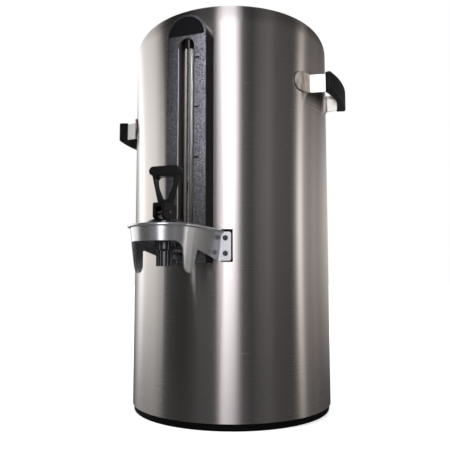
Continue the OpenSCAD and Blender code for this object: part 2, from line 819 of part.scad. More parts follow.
// Strip bent to a U, with a rounded pad at each foot that lies on the body
module bracket() {
    foot = body_r + seat;
    far_az = pad_az + (pad_r + 4) / body_r * 180 / PI;
    difference() {
        strip(0);
        translate([0, 0, -strip_h]) cylinder(r = foot, h = 2 * strip_h);
        for (side = [-1, 1]) rotate([0, 0, side * screw_az])
            translate([bar_rho - 10, 0, 0]) rotate([0, 90, 0]) cylinder(r = 2.1, h = 20);
    }
    for (side = [-1, 1]) intersection() {
        band(foot, foot + strip_t, 2 * pad_r + 2, side > 0 ? foot_az - 0.5 : -far_az,
             side > 0 ? far_az : 0.5 - foot_az);
        // round end of the pad and the straight stretch behind it
        rotate([0, 0, side * pad_az]) {
            rotate([0, 90, 0]) cylinder(r = pad_r, h = body_r + 60);
            translate([0, side > 0 ? -30 : 0, -pad_r]) cube([body_r + 60, 30, 2 * pad_r]);
        }
    }
}

// Black grip moulded over the bar: its outer face is flatter than the body, and it grows
// thicker towards one end
module grip() {
    edge_r = 2.5;
    end_r = 4;
    half_az = grip_l / 2 / grip_rho * 180 / PI;
    end_az = half_az - asin(end_r / (grip_rho - end_r));
    corner = at(grip_rho - end_r, end_az);
    half_chord = grip_rho * sin(half_az);
    bulge = grip_rho * (1 - cos(half_az)) - grip_flat;
    bow_r = (half_chord * half_chord + bulge * bulge) / (2 * bulge);
    difference() {
        intersection() {
            // ring with rounded upper and lower edges
            translate([grip_rho - grip_flat - bow_r, 0, 0]) rotate_extrude() {
                translate([bow_r - 20, edge_r - grip_h / 2]) square([20, grip_h - 2 * edge_r]);
                translate([bow_r - 20, -grip_h / 2]) square([20 - edge_r, grip_h]);
                for (side = [-1, 1])
                    translate([bow_r - edge_r, side * (grip_h / 2 - edge_r)]) circle(edge_r);
            }
            // the stretch between two rounded ends
            translate([0, 0, -grip_h]) linear_extrude(2 * grip_h) polygon(concat(
                [[0, 0]],
                arc(corner[0], -corner[1], end_r, -90 - half_az, -end_az),
                [at(2 * body_r, -end_az), at(2 * body_r, end_az)],
                arc(corner[0], corner[1], end_r, end_az, 90 + half_az)
            ));
        }
        translate([0, -grip_skew, -grip_h])
            cylinder(r = grip_rho - grip_flat - grip_t, h = 2 * grip_h);
        strip(seat);
        for (side = [-1, 1]) rotate([0, 0, side * screw_az])
            translate([screw_seat, 0, 0]) rotate([0, 90, 0]) {
                translate([0, 0, -20]) cylinder(r = 3.6, h = 20);
                cylinder(r = 2.1, h = 5.2);
            }
    }
}

// Two screws that hold one grip on its bracket
module grip_screw_pair() {
    for (side = [-1, 1]) rotate([0, 0, side * screw_az])
        translate([screw_seat, 0, 0]) rotate([0, 90, 0]) difference() {
            union() {
                translate([0, 0, -1.6]) cylinder(r = 3.4, h = 1.5);
                translate([0, 0, -0.6]) cylinder(r = 2, h = 5.6);
            }
            translate([0, 0, -2]) cylinder(r = 1.4, h = 1.3, $fn = 6);
        }
}

module place_right() {
    translate([0, 0, handle_z]) rotate([0, 0, -handle_turn]) children();
}

module place_left() {
    translate([0, 0, handle_z - handle_drop]) rotate([0, 0, 180 + handle_turn]) children();
}

module bracket_right() { color("silver") place_right() bracket(); }
module bracket_left() { color("silver") place_left() bracket(); }
module grip_right() { color([0.05, 0.05, 0.05]) place_right() grip(); }
module grip_left() { color([0.05, 0.05, 0.05]) place_left() grip(); }
module grip_screws() {
    color("silver") {
        place_right() grip_screw_pair();
        place_left() grip_screw_pair();
    }
}

// ---- Lid ----

// Moulded lid: fluted flange, hollow plug, dished top and a funnel to the centre hole
module lid() {
    r = lid_d / 2;
    dish_r = 66;
    socket_h = 12;
    color([0.05, 0.05, 0.05]) difference() {
        rotate_extrude() {
            // flange with a rounded edge
            translate([dish_r, flange_z0]) square([r - dish_r - 3, lid_flange]);
            translate([dish_r, flange_z0]) square([r - dish_r, lid_flange - 3]);
            translate([r - 3, lid_top - 3]) circle(3);
            // plug wall
            translate([plug_r - lid_wall, flange_z0 - plug_h]) square([lid_wall, plug_h + 1]);
            // wall and floor of the dish
            translate([dish_r, dish_z - lid_wall]) square([lid_wall, 12]);
            polygon([
                [dish_r + lid_wall, dish_z - lid_wall], [dish_r, dish_z],
                [brew_d / 2 + 16, dish_z - 1], [brew_d / 2, dish_z - funnel_h],
                [brew_d / 2, dish_z - funnel_h - lid_wall], [brew_d / 2 + 16, dish_z - 1 - lid_wall]
            ]);
            // socket for the mixing tube
            translate([tube_d / 2 + run, dish_z - funnel_h - socket_h])
                square([lid_wall, socket_h + 2]);
        }
        for (a = [0:15:345]) rotate([0, 0, a])
            translate([r + 3.4, 0, flange_z0 - over]) cylinder(r = 5, h = lid_flange + 2 * over);
        translate([0, 0, dish_z - 40]) cylinder(r = brew_d / 2, h = 60);
    }
    // ribs that stiffen the dish and give the fingers a hold
    color([0.05, 0.05, 0.05]) for (a = [0:45:315]) rotate([0, 0, a])
        translate([dish_r - 22, -1.5, dish_z - 0.9]) cube([22.5, 3, 7]);
}

// Soft ring that seals the plug in the neck
module lid_gasket() {
    color([0.35, 0.35, 0.35]) translate([0, 0, flange_z0 - 14])
        ring(plug_r + seat, neck_r - gap, 5);
}

// Tube that takes the fresh brew to the bottom of the vessel
module mixing_tube() {
    z1 = dish_z - funnel_h - lid_wall - seat;
    z0 = liner_z0 + tube_gap;
    color([0.9, 0.9, 0.9, 0.6]) translate([0, 0, z0]) difference() {
        ring(tube_d / 2 - 1.5, tube_d / 2, z1 - z0);
        for (a = [0, 90]) rotate([0, 0, a]) translate([-tube_d, -4, -over])
            cube([2 * tube_d, 8, over + tube_notch]);
    }
}

outer_shell();
neck_ring();
inner_vessel();
jacket_floor();
drain_tube();
base_ring();
bottom_pan();
gauge_housing();
badge_plate();
gauge_glass();
gauge_cap();
gauge_seal();
faucet_shank();
shank_washer();
shank_nut();
faucet_body();
bonnet();
valve_stem();
seat_cup();
valve_spring();
tap_handle();
handle_pin();
faucet_guard();
guard_screws();
bracket_right();
bracket_left();
grip_right();
grip_left();
grip_screws();
lid();
lid_gasket();
mixing_tube();
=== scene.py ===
import math

import bmesh
import bpy
from mathutils import Matrix, Vector


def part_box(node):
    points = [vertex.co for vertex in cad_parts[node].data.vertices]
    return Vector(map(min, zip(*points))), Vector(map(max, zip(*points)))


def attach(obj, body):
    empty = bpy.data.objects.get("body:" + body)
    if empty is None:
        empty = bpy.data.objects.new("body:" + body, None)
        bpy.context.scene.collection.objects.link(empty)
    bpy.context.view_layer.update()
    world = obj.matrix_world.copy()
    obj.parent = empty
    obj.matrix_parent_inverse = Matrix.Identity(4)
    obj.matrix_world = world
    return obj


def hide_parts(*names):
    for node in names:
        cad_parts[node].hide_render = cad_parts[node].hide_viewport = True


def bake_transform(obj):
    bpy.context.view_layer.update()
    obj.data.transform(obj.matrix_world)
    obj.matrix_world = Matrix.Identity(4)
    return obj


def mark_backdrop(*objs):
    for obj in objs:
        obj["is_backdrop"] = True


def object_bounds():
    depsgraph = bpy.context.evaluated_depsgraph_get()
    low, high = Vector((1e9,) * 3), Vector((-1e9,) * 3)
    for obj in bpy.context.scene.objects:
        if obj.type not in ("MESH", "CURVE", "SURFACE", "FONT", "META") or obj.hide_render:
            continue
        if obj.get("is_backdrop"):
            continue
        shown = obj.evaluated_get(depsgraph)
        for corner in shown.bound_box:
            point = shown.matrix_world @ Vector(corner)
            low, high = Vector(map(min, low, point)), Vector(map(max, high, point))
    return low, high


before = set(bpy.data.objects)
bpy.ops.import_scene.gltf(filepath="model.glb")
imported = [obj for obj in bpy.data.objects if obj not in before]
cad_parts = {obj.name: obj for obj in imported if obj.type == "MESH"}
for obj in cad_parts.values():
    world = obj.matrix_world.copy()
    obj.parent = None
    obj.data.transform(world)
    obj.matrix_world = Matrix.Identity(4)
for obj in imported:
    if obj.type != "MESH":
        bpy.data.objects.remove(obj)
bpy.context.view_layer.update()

# ---- Camera ----
# A normal lens stands 20 degrees round to the right of the faucet, about level with the
# lower edge of its guard, and looks slightly up.
camera_round = math.radians(20.0)
camera_heading = math.radians(20.67)
camera_pitch = math.radians(5.36)
camera_distance, camera_height = 0.8635, 0.1958
camera_data = bpy.data.cameras.new("camera")
camera_data.lens = 44.0
camera_data.sensor_width = 36.0
camera = bpy.data.objects.new("camera", camera_data)
bpy.context.collection.objects.link(camera)
camera.location = (camera_distance * math.sin(camera_round),
                   -camera_distance * math.cos(camera_round), camera_height)
camera_aim = Vector((-math.sin(camera_heading) * math.cos(camera_pitch),
                     math.cos(camera_heading) * math.cos(camera_pitch),
                     math.sin(camera_pitch)))
camera.rotation_euler = camera_aim.to_track_quat("-Z", "Y").to_euler()
bpy.context.scene.camera = camera
bpy.context.scene.view_settings.view_transform = "Standard"


# ---- Studio: floor, tent and lamps ----
# White surround and a matt pale floor. A round tent stands about the object: white cloth
# with a long lamp strip and dark cards hung in it, which only polished surfaces show.
def linear(code):
    """Turns an sRGB hex colour into the linear RGBA that the shaders take."""
    parts = [int(code[i:i + 2], 16) / 255 for i in (1, 3, 5)]
    return [c / 12.92 if c <= 0.04045 else ((c + 0.055) / 1.055) ** 2.4
            for c in parts] + [1]


def add(tree, kind, inputs={}, **settings):
    """Adds a node with its settings; a socket given as an input is linked, a value is set."""
    made = tree.nodes.new("ShaderNode" + kind)
    for name, value in settings.items():
        setattr(made, name, value)
    for name, value in inputs.items():
        if isinstance(value, bpy.types.NodeSocket):
            tree.links.new(value, made.inputs[name])
        else:
            made.inputs[name].default_value = value
    return made


def new_material(name):
    """An empty material and its node tree."""
    material = bpy.data.materials.new(name)
    material.use_nodes = True
    material.node_tree.nodes.clear()
    return material, material.node_tree


def object_from(name, form, material, smooth=True):
    """Makes an object from a finished bmesh, in place, with one material."""
    bmesh.ops.remove_doubles(form, verts=form.verts, dist=1e-6)
    bmesh.ops.recalc_face_normals(form, faces=form.faces)
    mesh = bpy.data.meshes.new(name)
    form.to_mesh(mesh)
    form.free()
    mesh.materials.append(material)
    mesh.polygons.foreach_set("use_smooth", [smooth] * len(mesh.polygons))
    made = bpy.data.objects.new(name, mesh)
    bpy.context.collection.objects.link(made)
    return made


def fill_ramp(node, rows, low, high):
    """Sets a colour ramp to rows of (place, grey), with places from low to high."""
    elements = node.color_ramp.elements
    elements.remove(elements[1])
    for index, (place, grey) in enumerate(rows):
        at = (place - low) / (high - low)
        step = elements[0] if index == 0 else elements.new(at)
        step.position = at
        step.color = (grey, grey, grey, 1)


world = bpy.data.worlds.new("surround")
bpy.context.scene.world = world
world.use_nodes = True
tree = world.node_tree
tree.nodes.clear()
path = add(tree, "LightPath")
seen = add(tree, "Math", {0: path.outputs["Is Camera Ray"],
                          1: path.outputs["Is Glossy Ray"]}, operation="ADD")
seen = add(tree, "Math", {0: seen.outputs[0], 1: path.outputs["Is Transmission Ray"]},
           operation="ADD", use_clamp=True)
dim = add(tree, "Background", {"Color": linear("#F4F6FA"), "Strength": 0.4})
white = add(tree, "Background", {"Color": (1, 1, 1, 1), "Strength": 1.0})
mixed = add(tree, "MixShader", {0: seen.outputs[0], 1: dim.outputs[0], 2: white.outputs[0]})
add(tree, "OutputWorld", {0: mixed.outputs[0]})

# the floor brightens away from the object, so that it runs out into the white surround
floor_radius, fade_start, fade_end = 12.0, 0.3, 1.6
floor_card, tree = new_material("matt_floor_card")
path = add(tree, "LightPath")
place = add(tree, "TexCoord")
away = add(tree, "VectorMath", {0: place.outputs["Object"]}, operation="LENGTH")
lift = add(tree, "MapRange", {0: away.outputs["Value"], 1: fade_start, 2: fade_end,
                              3: 0.5, 4: 1.0})
card = add(tree, "BsdfDiffuse", {"Color": linear("#F2F2F2")})
glow = add(tree, "Emission", {"Color": (1, 1, 1, 1), "Strength": lift.outputs[0]})
lit = add(tree, "AddShader", {0: card.outputs[0], 1: glow.outputs[0]})
mixed = add(tree, "MixShader", {0: path.outputs["Is Camera Ray"], 1: card.outputs[0],
                                2: lit.outputs[0]})
add(tree, "OutputMaterial", {0: mixed.outputs[0]})

form = bmesh.new()
bmesh.ops.create_circle(form, cap_ends=True, segments=96, radius=floor_radius)
floor = object_from("floor", form, floor_card)
floor.visible_glossy = False

# The cards hang so that a surface turned a given angle from the lens shows a given card,
# wall or shoulder alike: the angle is that of the line halfway from the lens to the card.
tent_radius, tent_centre, tent_strength = 1.7, 0.3, 2.3
tent_cloth, tree = new_material("tent_cloth_and_cards")
place = add(tree, "TexCoord")
centred = add(tree, "Mapping", {0: place.outputs["Object"],
                                "Rotation": (0, 0, -camera_round),
                                "Location": (0, 0, -tent_centre)})
way = add(tree, "VectorMath", {0: centred.outputs[0]}, operation="NORMALIZE")
half = add(tree, "VectorMath", {0: way.outputs[0], 1: (0, -1, 0)}, operation="ADD")
part = add(tree, "SeparateXYZ", {0: half.outputs[0]})
front = add(tree, "Math", {0: part.outputs["Y"], 1: -1.0}, operation="MULTIPLY")
turn = add(tree, "Math", {0: part.outputs["X"], 1: front.outputs[0]}, operation="ARCTAN2")
share = add(tree, "Math", {0: turn.outputs[0], 1: 1 / math.pi, 2: 0.5},
            operation="MULTIPLY_ADD")
cards = add(tree, "ValToRGB", {0: share.outputs[0]})
# Each row: degrees to the right of the lens, and the grey of the cloth or card there. The
# greys are halved to fit the ramp, and the glow of the tent makes up for it.
fill_ramp(cards, [(angle, grey / 2) for angle, grey in [
    (-90, 0.15), (-73, 0.45), (-69, 0.75), (-65.5, 1.5), (-62.3, 2.0), (-60, 1.85),
    (-57.5, 1.42), (-55, 1.32), (-47, 1.22), (-44, 1.03), (-40.5, 0.6), (-38, 0.15),
    (-34, 0.08), (-27, 0.05), (-22, 0.08), (-16, 0.18), (7, 0.16), (10.5, 0.09),
    (13.5, 0.18), (20, 0.26), (24, 0.16), (35, 0.12), (37.5, 0.35), (39.5, 1.3),
    (41.5, 1.25), (43.5, 0.5), (48, 0.34), (53, 0.4), (57, 0.32), (68, 0.42), (90, 0.45)]],
          -90, 90)
# the strip lamp hangs from the crown, narrows towards its foot and leans a little there
strip_aside, strip_lean, strip_taper = math.radians(-1.4), 0.17, 2.2
strip_core, strip_edge, strip_strength = math.radians(2.2), math.radians(7.5), 1.5
height = add(tree, "SeparateXYZ", {0: way.outputs[0]})
below = add(tree, "Math", {0: height.outputs["Z"], 1: 0.0}, operation="MINIMUM")
centre = add(tree, "Math", {0: below.outputs[0], 1: strip_lean, 2: strip_aside},
             operation="MULTIPLY_ADD")
off = add(tree, "Math", {0: turn.outputs[0], 1: centre.outputs[0]}, operation="SUBTRACT")
off = add(tree, "Math", {0: off.outputs[0]}, operation="ABSOLUTE")
width = add(tree, "Math", {0: below.outputs[0], 1: strip_taper, 2: 1.0},
            operation="MULTIPLY_ADD")
off = add(tree, "Math", {0: off.outputs[0], 1: width.outputs[0]}, operation="DIVIDE")
strip = add(tree, "MapRange", {0: off.outputs[0], 1: strip_edge, 2: strip_core,
                               3: 0.0, 4: strip_strength},
            interpolation_type="SMOOTHSTEP")
# and it shines more strongly at its foot, where the cloth is in shade
foot_start, foot_end, foot_strength = -0.25, -0.45, 2.8
foot = add(tree, "MapRange", {0: height.outputs["Z"], 1: foot_start, 2: foot_end,
                              3: 1.0, 4: foot_strength})
strip = add(tree, "Math", {0: strip.outputs[0], 1: foot.outputs[0]}, operation="MULTIPLY")
light = add(tree, "MixRGB", {0: 1.0, 1: cards.outputs[0], 2: strip.outputs[0]},
            blend_type="ADD")
level = add(tree, "Math", {0: height.outputs["Z"], 1: 0.5, 2: 0.5}, operation="MULTIPLY_ADD")
fall = add(tree, "ValToRGB", {0: level.outputs[0]})
# Each row: height on the tent, from its foot at -1 to its crown at 1, and the share of light
fill_ramp(fall, [(-1, 0.01), (-0.55, 0.01), (-0.41, 0.02), (-0.3, 0.13), (-0.16, 0.54),
                 (-0.06, 0.74), (0.2, 1.0), (0.4, 0.75), (0.7, 0.42), (1, 0.4)], -1, 1)
toned = add(tree, "MixRGB", {0: 1.0, 1: light.outputs[0], 2: fall.outputs[0]},
            blend_type="MULTIPLY")
# On the right the cloth is brightest at mid height and dim under the crown. Each row:
# height on the tent, and the light there as a multiple. The ramp holds half of it, and
# the next node doubles it again and takes off the 1 that the last node adds back.
side_fall = add(tree, "ValToRGB", {0: level.outputs[0]})
fill_ramp(side_fall, [(height, times / 2) for height, times in [
    (-1, 0.65), (-0.37, 0.65), (-0.3, 0.85), (-0.19, 1.2), (-0.07, 1.45), (0.03, 1.6),
    (0.15, 1.4), (0.24, 1.15), (0.33, 0.78), (0.39, 0.52), (0.48, 0.26), (1, 0.26)]], -1, 1)
side_fall = add(tree, "Math", {0: side_fall.outputs[0], 1: 2.0, 2: -1.0},
                operation="MULTIPLY_ADD")
right_start, right_end = math.radians(33), math.radians(38)
right_hand = add(tree, "MapRange", {0: turn.outputs[0], 1: right_start, 2: right_end})
side_fall = add(tree, "Math", {0: side_fall.outputs[0], 1: right_hand.outputs[0], 2: 1.0},
                operation="MULTIPLY_ADD")
toned = add(tree, "MixRGB", {0: 1.0, 1: toned.outputs[0], 2: side_fall.outputs[0]},
            blend_type="MULTIPLY")
# the cloth is a warm white at both sides and a cooler white in the middle
tint = add(tree, "ValToRGB", {0: share.outputs[0]})
tint.color_ramp.elements[0].position, tint.color_ramp.elements[1].position = 0.3, 0.75
tint.color_ramp.elements.new(0.5)
for step, colour in zip(tint.color_ramp.elements, ("#FFFEFC", "#FAF7FD", "#FFF9F4")):
    step.color = linear(colour)
warm = add(tree, "MixRGB", {0: 1.0, 1: toned.outputs[0], 2: tint.outputs[0]},
           blend_type="MULTIPLY")
glow = add(tree, "Emission", {"Color": warm.outputs[0], "Strength": tent_strength})
add(tree, "OutputMaterial", {0: glow.outputs[0]})

form = bmesh.new()
bmesh.ops.create_uvsphere(form, u_segments=96, v_segments=48, radius=tent_radius)
bmesh.ops.translate(form, verts=form.verts, vec=(0, 0, tent_centre))
tent = object_from("tent", form, tent_cloth)
tent.visible_camera = False
tent.visible_diffuse = False
tent.visible_transmission = False
tent.visible_shadow = False
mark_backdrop(floor, tent)


def lamp(name, place, size, watts, aim=(0, 0, 0.3), spread=180):
    """A soft square lamp, pointed at the object or at one place on it."""
    data = bpy.data.lights.new(name, "AREA")
    data.size = size
    data.energy = watts
    data.spread = math.radians(spread)
    made = bpy.data.objects.new(name, data)
    bpy.context.collection.objects.link(made)
    made.location = place
    made.rotation_euler = (Vector(aim) - made.location).to_track_quat("-Z", "Y").to_euler()
    made.visible_glossy = False
    made.visible_transmission = False


lamp("key_lamp", (-1.3, -1.9, 1.5), 1.2, 48)
lamp("fill_lamp", (1.9, -1.3, 1.1), 1.2, 20)
lamp("back_lamp", (0.4, 2.2, 1.8), 1.2, 25)
# a low gridded lamp reaches the far arm of the right handle, under the near one
lamp("handle_lamp", (0.45, -1.3, 0.02), 0.25, 1.2, aim=(0.18, 0.03, 0.45), spread=16)

# ---- Lid ----
# Black polypropylene funnel lid, moulded in one piece and dropped into the neck. Its dish
# has stiffening ribs and a hole that the brewer drips through.
def give(material, *names):
    """Puts a finish on nodes of the frame."""
    for name in names:
        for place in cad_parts[name].material_slots:
            place.material = material


def moulded(name, colour, roughness, grain_mm, depth_mm, lighter=0.3, shine=0.5):
    """Moulded plastic or rubber: an even grain, and a change of tone from grain to grain.
    The grain is drawn coarser than a mould leaves it, so that it shows."""
    spread = 0.06
    material, tree = new_material(name)
    place = add(tree, "TexCoord")
    grain = add(tree, "TexNoise", {"Vector": place.outputs["Object"],
                                   "Scale": 1000 / grain_mm, "Detail": 2.0})
    crest = add(tree, "MapRange", {0: grain.outputs["Fac"], 1: 0.4, 2: 0.7})
    dark = linear(colour)
    pale = [min(1.0, c * (1 + lighter)) for c in dark[:3]] + [1]
    tone = add(tree, "MixRGB", {0: crest.outputs[0], 1: dark, 2: pale})
    bump = add(tree, "Bump", {"Height": grain.outputs["Fac"], "Strength": 0.5,
                              "Distance": depth_mm / 1000})
    rough = add(tree, "MapRange", {0: grain.outputs["Fac"], 3: roughness - spread,
                                   4: roughness + spread})
    skin = add(tree, "BsdfPrincipled", {"Base Color": tone.outputs[0],
                                        "Roughness": rough.outputs[0],
                                        "Specular IOR Level": shine,
                                        "Normal": bump.outputs[0]})
    add(tree, "OutputMaterial", {0: skin.outputs[0]})
    return material


# moulded polypropylene has a soft, waxy sheen
give(moulded("lid_polypropylene", "#1B1B1C", 0.42, 1.4, 0.06), "lid")

# ---- Lid gasket and mixing tube ----
# Translucent silicone ring pressed on the lid's plug, and the natural polypropylene tube
# that hangs from the lid and carries fresh brew to the bottom of the vessel.
# silicone is matt and the tube has a faint gloss; both are milky and are drawn opaque
give(moulded("natural_silicone", "#D9D6CF", 0.5, 2.0, 0.02, 0.08), "lid_gasket", "seat_cup")
give(moulded("natural_polypropylene", "#E4E2DB", 0.36, 6.0, 0.03, 0.05), "mixing_tube")

# ---- Body: brushed skin and rolled neck ring ----
# Sheet of 304 stainless steel, rolled, seam-welded at the back and spun over at the
# shoulder, then brushed round and round with a fine belt, which draws light into bands.
brushed_stainless, tree = new_material("brushed_stainless")
place = add(tree, "TexCoord")
# Belt marks, as counts in a metre: 71 mm long and 0.45 mm apart, which is coarser than
# the belt leaves them, so that they show
belt_marks = (14, 14, 2200)
marks = add(tree, "Mapping", {0: place.outputs["Object"], "Scale": belt_marks})
grain = add(tree, "TexNoise", {"Vector": marks.outputs[0], "Scale": 1.0, "Detail": 3.0,
                               "Roughness": 0.6})
rough = add(tree, "MapRange", {0: grain.outputs["Fac"], 3: 0.26, 4: 0.28})
tone = add(tree, "MapRange", {0: grain.outputs["Fac"], 1: 0.3, 2: 0.7})
steel = add(tree, "MixRGB", {0: tone.outputs[0], 1: linear("#CFCAC7"), 2: linear("#D2CDCA")})
# the dressed weld, a dull line some 3 mm wide up the back
seam_core, seam_edge, back_y = 0.0012, 0.0022, 0.1
round_it = add(tree, "SeparateXYZ", {0: place.outputs["Object"]})
aside = add(tree, "Math", {0: round_it.outputs["X"]}, operation="ABSOLUTE")
near = add(tree, "MapRange", {0: aside.outputs[0], 1: seam_edge, 2: seam_core})
behind = add(tree, "Math", {0: round_it.outputs["Y"], 1: back_y}, operation="GREATER_THAN")
weld = add(tree, "Math", {0: near.outputs[0], 1: behind.outputs[0]}, operation="MULTIPLY")
dulled = add(tree, "MixRGB", {0: weld.outputs[0], 1: steel.outputs[0], 2: linear("#9B9591")})
round_z = add(tree, "Tangent", direction_type="RADIAL", axis="Z")
bump = add(tree, "Bump", {"Height": grain.outputs["Fac"], "Strength": 0.012,
                          "Distance": 0.0002})
skin = add(tree, "BsdfPrincipled", {"Base Color": dulled.outputs[0], "Metallic": 1.0,
                                    "Roughness": rough.outputs[0], "Anisotropic": 1.0,
                                    "Anisotropic Rotation": 0.25,
                                    "Tangent": round_z.outputs[0],
                                    "Normal": bump.outputs[0]})
add(tree, "OutputMaterial", {0: skin.outputs[0]})
give(brushed_stainless, "outer_shell", "neck_ring")

# ---- Inner vessel, drain tube and jacket floor ----
# The vessel that holds the coffee, drawn and welded from 304 stainless and left as it came
# from the soft wheel, with the drain tube welded to its bottom.
def satin_steel(name, colour, roughness, mark_mm):
    """Steel with soft highlights and even marks, drawn coarser than real so that they
    show, and a change of tone from mark to mark."""
    spread, darker = 0.06, 0.82
    material, tree = new_material(name)
    place = add(tree, "TexCoord")
    grain = add(tree, "TexNoise", {"Vector": place.outputs["Object"],
                                   "Scale": 1000 / mark_mm, "Detail": 4.0})
    rough = add(tree, "MapRange", {0: grain.outputs["Fac"], 3: roughness - spread,
                                   4: roughness + spread})
    bump = add(tree, "Bump", {"Height": grain.outputs["Fac"], "Strength": 0.1,
                              "Distance": 0.0002})
    tone = add(tree, "MixRGB", {0: grain.outputs["Fac"], 1: linear(colour),
                                2: [darker * c for c in linear(colour)[:3]] + [1]})
    skin = add(tree, "BsdfPrincipled", {"Base Color": tone.outputs[0], "Metallic": 1.0,
                                        "Roughness": rough.outputs[0],
                                        "Normal": bump.outputs[0]})
    add(tree, "OutputMaterial", {0: skin.outputs[0]})
    return material


# a soft wheel leaves the steel grey and even, with no clear reflection in it
give(satin_steel("soft_wheel_stainless", "#CFCDCB", 0.34, 3.0), "inner_vessel",
     "jacket_floor", "drain_tube")

# ---- Gauge housing ----
# Cover of black ABS moulded with a coarse spark-eroded grain on its face. It hides the
# fittings at both ends of the sight tube and clips to the body.
grained_abs, tree = new_material("grained_abs")
place = add(tree, "TexCoord")
# The pebbles are painted with pale crests on a dark ground: the pale specks are painted
# glints of light on the grain, and the whole face is painted paler than black ABS, as painted
# sheen. They are drawn as coarse as they need to be to show.
pebble_mm, fine_mm = 1.5, 0.8
pebble = add(tree, "TexVoronoi", {"Vector": place.outputs["Object"],
                                  "Scale": 1000 / pebble_mm}, feature="F1")
fine = add(tree, "TexNoise", {"Vector": place.outputs["Object"], "Scale": 1000 / fine_mm,
                              "Detail": 2.0})
grain = add(tree, "Math", {0: fine.outputs["Fac"], 1: pebble.outputs["Distance"]},
            operation="SUBTRACT")
# the grain is on the face only: its sides and the slot are smooth
housing_low, housing_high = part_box("gauge_housing")
front_y, face_depth = housing_low[1], 0.0006
depth = add(tree, "SeparateXYZ", {0: place.outputs["Object"]})
on_face = add(tree, "Math", {0: depth.outputs["Y"], 1: front_y + face_depth},
              operation="LESS_THAN")
crest = add(tree, "MapRange", {0: grain.outputs[0], 1: -0.1, 2: 0.4})
speck = add(tree, "MixRGB", {0: crest.outputs[0], 1: linear("#34343A"),
                             2: linear("#7C7C82")})
# The grain is painted paler towards the right edge, most of all beside the upper marks:
# painted light, which stands in for a slight crown of the face that the flat solid doesn't
# have. It is painted darker low down behind the faucet, as painted shade, and darker towards
# the head.
middle_tone, steep_low, steep_high = 0.96, 0.40, 0.50
steep = add(tree, "MapRange", {0: depth.outputs["Z"], 1: steep_low, 2: steep_high,
                               3: 21.0, 4: 29.0})
across = add(tree, "Math", {0: depth.outputs["X"], 1: steep.outputs[0], 2: middle_tone},
             operation="MULTIPLY_ADD")
faucet_shade_low, faucet_shade_high = 0.29, 0.36
upward = add(tree, "MapRange", {0: depth.outputs["Z"], 1: faucet_shade_low,
                                2: faucet_shade_high, 3: 0.6, 4: 1.0})
housing_top, housing_half = housing_high[2], housing_high[0]
head = add(tree, "MapRange", {0: depth.outputs["Z"], 1: housing_top - housing_half,
                              2: housing_top, 3: 1.0, 4: 0.3})
# painted light and shade across the face
painted_light_and_shade = add(tree, "Math", {0: across.outputs[0], 1: upward.outputs[0]}, operation="MULTIPLY")
painted_light_and_shade = add(tree, "Math", {0: painted_light_and_shade.outputs[0], 1: head.outputs[0]}, operation="MULTIPLY")
speck = add(tree, "MixRGB", {0: 1.0, 1: speck.outputs[0], 2: painted_light_and_shade.outputs[0]},
            blend_type="MULTIPLY")
# inside the slot the black plastic is painted a pale grey-brown: painted light reaching into
# the slot
slot_half = 0.0119
aside = add(tree, "Math", {0: depth.outputs["X"]}, operation="ABSOLUTE")
in_slot = add(tree, "Math", {0: aside.outputs[0], 1: slot_half}, operation="LESS_THAN")
smooth = add(tree, "MixRGB", {0: in_slot.outputs[0], 1: linear("#060506"),
                              2: linear("#4C4642")})
tone = add(tree, "MixRGB", {0: on_face.outputs[0], 1: smooth.outputs[0],
                            2: speck.outputs[0]})
# The left edge of the slot is painted pale: a painted highlight, for the line of light along
# an edge that is too narrow to catch one here.
bevel_x_middle, bevel_x_half, bevel_depth = -0.0112, 0.0004, 0.0014
bevel_y = add(tree, "Math", {0: depth.outputs["Y"], 1: front_y + bevel_depth},
              operation="LESS_THAN")
bevel_x = add(tree, "Math", {0: depth.outputs["X"], 1: bevel_x_middle, 2: bevel_x_half},
              operation="COMPARE")
bevel_z = add(tree, "Math", {0: depth.outputs["Z"], 1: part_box("gauge_cap")[0][2]},
              operation="LESS_THAN")
painted_bevel_highlight = add(tree, "Math", {0: bevel_x.outputs[0], 1: bevel_y.outputs[0]},
             operation="MULTIPLY")
painted_bevel_highlight = add(tree, "Math", {0: painted_bevel_highlight.outputs[0], 1: bevel_z.outputs[0]},
             operation="MULTIPLY")
tone = add(tree, "MixRGB", {0: painted_bevel_highlight.outputs[0], 1: tone.outputs[0], 2: linear("#B4B2B6")})
rough = add(tree, "MapRange", {0: on_face.outputs[0], 3: 0.28, 4: 0.44})
relief = add(tree, "Math", {0: grain.outputs[0], 1: on_face.outputs[0]},
             operation="MULTIPLY")
bump = add(tree, "Bump", {"Height": relief.outputs[0], "Strength": 0.6, "Distance": 0.0006})
gloss = add(tree, "MapRange", {0: on_face.outputs[0], 3: 0.25, 4: 0.5})
skin = add(tree, "BsdfPrincipled", {"Base Color": tone.outputs[0],
                                    "Roughness": rough.outputs[0],
                                    "Specular IOR Level": gloss.outputs[0],
                                    "Normal": bump.outputs[0]})
add(tree, "OutputMaterial", {0: skin.outputs[0]})
give(grained_abs, "gauge_housing")

# ---- Volume marks ----
# Black paint wiped into the three moulded grooves beside the slot, one for each unit of
# volume. It stands a little proud of the face and spreads past the edges of its groove.
def block(name, low, high, material):
    """A plain box between two corners."""
    form = bmesh.new()
    bmesh.ops.create_cube(form, size=1.0)
    for corner in form.verts:
        corner.co = [a + (c + 0.5) * (b - a) for a, b, c in zip(low, high, corner.co)]
    return object_from(name, form, material, smooth=False)


# flat paint has hardly any shine
mark_paint = moulded("mark_paint", "#030303", 0.6, 2.0, 0.01, shine=0.1)
mark_x, mark_length, mark_height = 0.0112, 0.0078, 0.0021
lowest_mark, mark_step, paint_proud, paint_sunk = 0.3488, 0.0664, 0.0003, 0.0006
for count in range(3):
    mark_z = lowest_mark + mark_step * count
    mark = block("volume_mark_%d" % (count + 1),
                 (mark_x, front_y - paint_proud, mark_z - mark_height / 2),
                 (mark_x + mark_length, front_y + paint_sunk, mark_z + mark_height / 2),
                 mark_paint)
    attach(mark, "dispenser")

